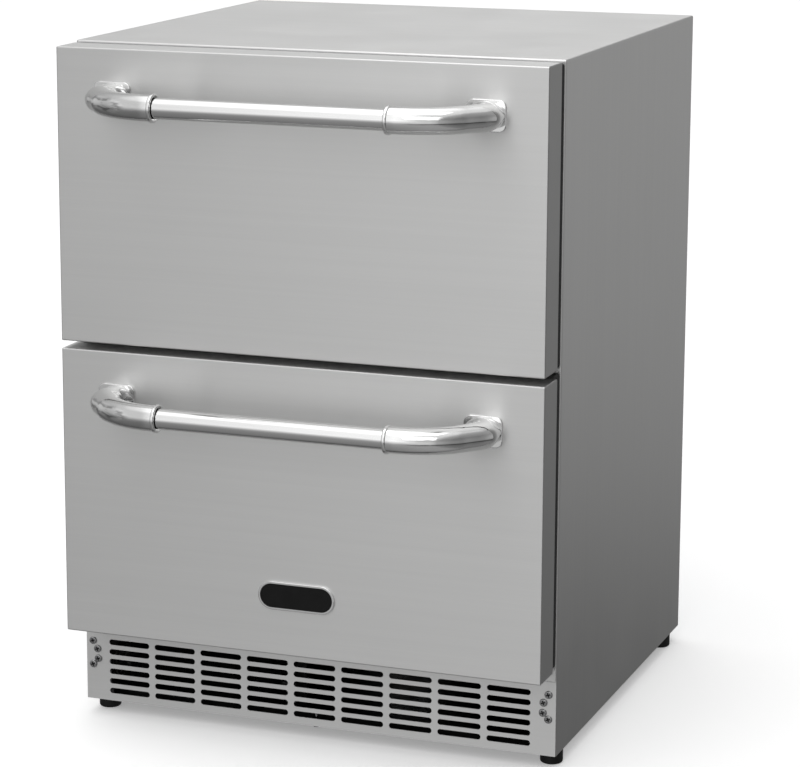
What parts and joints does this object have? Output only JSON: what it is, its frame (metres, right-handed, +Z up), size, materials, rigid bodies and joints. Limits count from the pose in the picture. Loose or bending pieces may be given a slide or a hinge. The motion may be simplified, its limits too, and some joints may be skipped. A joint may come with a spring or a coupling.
{
  "type": "under counter fridge",
  "caption": "Under counter refrigerator with two insulated drawers, tubular handles, steel cabinet, slotted front grille and levelling feet.",
  "frame": {"origin": "centre of the object's footprint on the floor, feet screwed in, handles included", "axes": "+Z up; -Y towards the front, the side the drawers open to; +X to the right of someone facing the front"},
  "size_m": [0.6, 0.7067, 0.8265],
  "materials": {
    "brushed_steel": "satin",
    "bin_steel": "satin",
    "polished_steel": "polished",
    "galvanised_steel": "satin",
    "zinc_plate": "satin",
    "white_plastic": "satin",
    "black_plastic": "satin",
    "seal_rubber": "matte",
    "insulating_foam": "matte",
    "copper": "satin",
    "fin_aluminium": "satin",
    "black_paint": "satin",
    "lamp_lens": "satin",
    "badge_black": "gloss"
  },
  "bodies": {
    "cabinet": {"outer_wrapper": "brushed_steel", "front_mullion": "brushed_steel", "lower_front_rail": "brushed_steel", "front_grille": "brushed_steel", "rear_panel": "galvanised_steel", "service_cover": "galvanised_steel", "base_pan": "galvanised_steel", "compartment_divider": "galvanised_steel", "cabinet_fasteners": "zinc_plate", "slide_outer_members": "zinc_plate", "inner_liner": "white_plastic", "evaporator_cover": "white_plastic", "control_housing": "white_plastic", "compressor_terminal_cover": "black_plastic", "power_inlet": "black_plastic", "condenser_fan_shroud": "black_plastic", "condensate_drain": "black_plastic", "compressor_grommets": "seal_rubber", "insulation_foam": "insulating_foam", "condenser_coil": "copper", "evaporator_coil": "copper", "refrigerant_lines": "copper", "filter_drier": "copper", "condenser_fins": "fin_aluminium", "evaporator_fins": "fin_aluminium", "compressor": "black_paint", "condenser_fan_motor": "black_paint", "evaporator_fan_motor": "black_paint", "led_lamp": "lamp_lens"},
    "upper_drawer": {"upper_drawer_skin": "brushed_steel", "upper_drawer_foam": "insulating_foam", "upper_inner_panel": "white_plastic", "upper_gasket": "seal_rubber", "upper_bin": "bin_steel", "upper_slide_inner_members": "zinc_plate", "upper_handle_bar": "polished_steel", "upper_handle_elbows": "polished_steel", "upper_handle_bolts": "zinc_plate"},
    "lower_drawer": {"lower_drawer_skin": "brushed_steel", "lower_drawer_foam": "insulating_foam", "lower_inner_panel": "white_plastic", "lower_gasket": "seal_rubber", "lower_bin": "bin_steel", "lower_slide_inner_members": "zinc_plate", "lower_handle_bar": "polished_steel", "lower_handle_elbows": "polished_steel", "lower_handle_bolts": "zinc_plate", "badge_rim": "polished_steel", "badge_plate": "badge_black"},
    "condenser_fan": {"condenser_fan_blades": "black_plastic"},
    "evaporator_fan": {"evaporator_fan_blades": "black_plastic"},
    "knob": {"thermostat_knob": "black_plastic"},
    "foot_front_left": {"foot_front_left": "black_plastic"},
    "foot_front_right": {"foot_front_right": "black_plastic"},
    "foot_rear_left": {"foot_rear_left": "black_plastic"},
    "foot_rear_right": {"foot_rear_right": "black_plastic"},
    "upper_slide_middle_left": {"upper_slide_middle_left": "zinc_plate"},
    "upper_slide_middle_right": {"upper_slide_middle_right": "zinc_plate"},
    "lower_slide_middle_left": {"lower_slide_middle_left": "zinc_plate"},
    "lower_slide_middle_right": {"lower_slide_middle_right": "zinc_plate"}
  },
  "joints": [
    {"name": "upper_drawer_slide", "type": "slide", "parent": "cabinet", "child": "upper_drawer", "axis": [0, -1, 0], "range_m": [0, 0.38]},
    {"name": "lower_drawer_slide", "type": "slide", "parent": "cabinet", "child": "lower_drawer", "axis": [0, -1, 0], "range_m": [0, 0.38]},
    {"name": "upper_slide_middle_left_travel", "type": "slide", "parent": "cabinet", "child": "upper_slide_middle_left", "axis": [0, -1, 0], "range_m": [0, 0.19]},
    {"name": "upper_slide_middle_right_travel", "type": "slide", "parent": "cabinet", "child": "upper_slide_middle_right", "axis": [0, -1, 0], "range_m": [0, 0.19]},
    {"name": "lower_slide_middle_left_travel", "type": "slide", "parent": "cabinet", "child": "lower_slide_middle_left", "axis": [0, -1, 0], "range_m": [0, 0.19]},
    {"name": "lower_slide_middle_right_travel", "type": "slide", "parent": "cabinet", "child": "lower_slide_middle_right", "axis": [0, -1, 0], "range_m": [0, 0.19]},
    {"name": "condenser_fan_spin", "type": "hinge", "parent": "cabinet", "child": "condenser_fan", "pos_m": [-0.155, -0.13185, 0.0655], "axis": [0, 1, 0], "continuous": true},
    {"name": "evaporator_fan_spin", "type": "hinge", "parent": "cabinet", "child": "evaporator_fan", "pos_m": [0, 0.23315, 0.7295], "axis": [0, 1, 0], "continuous": true},
    {"name": "thermostat_turn", "type": "hinge", "parent": "cabinet", "child": "knob", "pos_m": [0.175, -0.17585, 0.7735], "axis": [0, 1, 0], "range_deg": [-150, 150]},
    {"name": "foot_front_left_height", "type": "slide", "parent": "cabinet", "child": "foot_front_left", "axis": [0, 0, -1], "range_m": [0, 0.025]},
    {"name": "foot_front_right_height", "type": "slide", "parent": "cabinet", "child": "foot_front_right", "axis": [0, 0, -1], "range_m": [0, 0.025]},
    {"name": "foot_rear_left_height", "type": "slide", "parent": "cabinet", "child": "foot_rear_left", "axis": [0, 0, -1], "range_m": [0, 0.025]},
    {"name": "foot_rear_right_height", "type": "slide", "parent": "cabinet", "child": "foot_rear_right", "axis": [0, 0, -1], "range_m": [0, 0.025]}
  ],
  "couplings": [
    {"joint": "upper_slide_middle_left_travel", "follows": "upper_drawer_slide", "ratio": 0.5},
    {"joint": "upper_slide_middle_right_travel", "follows": "upper_drawer_slide", "ratio": 0.5},
    {"joint": "lower_slide_middle_left_travel", "follows": "lower_drawer_slide", "ratio": 0.5},
    {"joint": "lower_slide_middle_right_travel", "follows": "lower_drawer_slide", "ratio": 0.5}
  ]
}
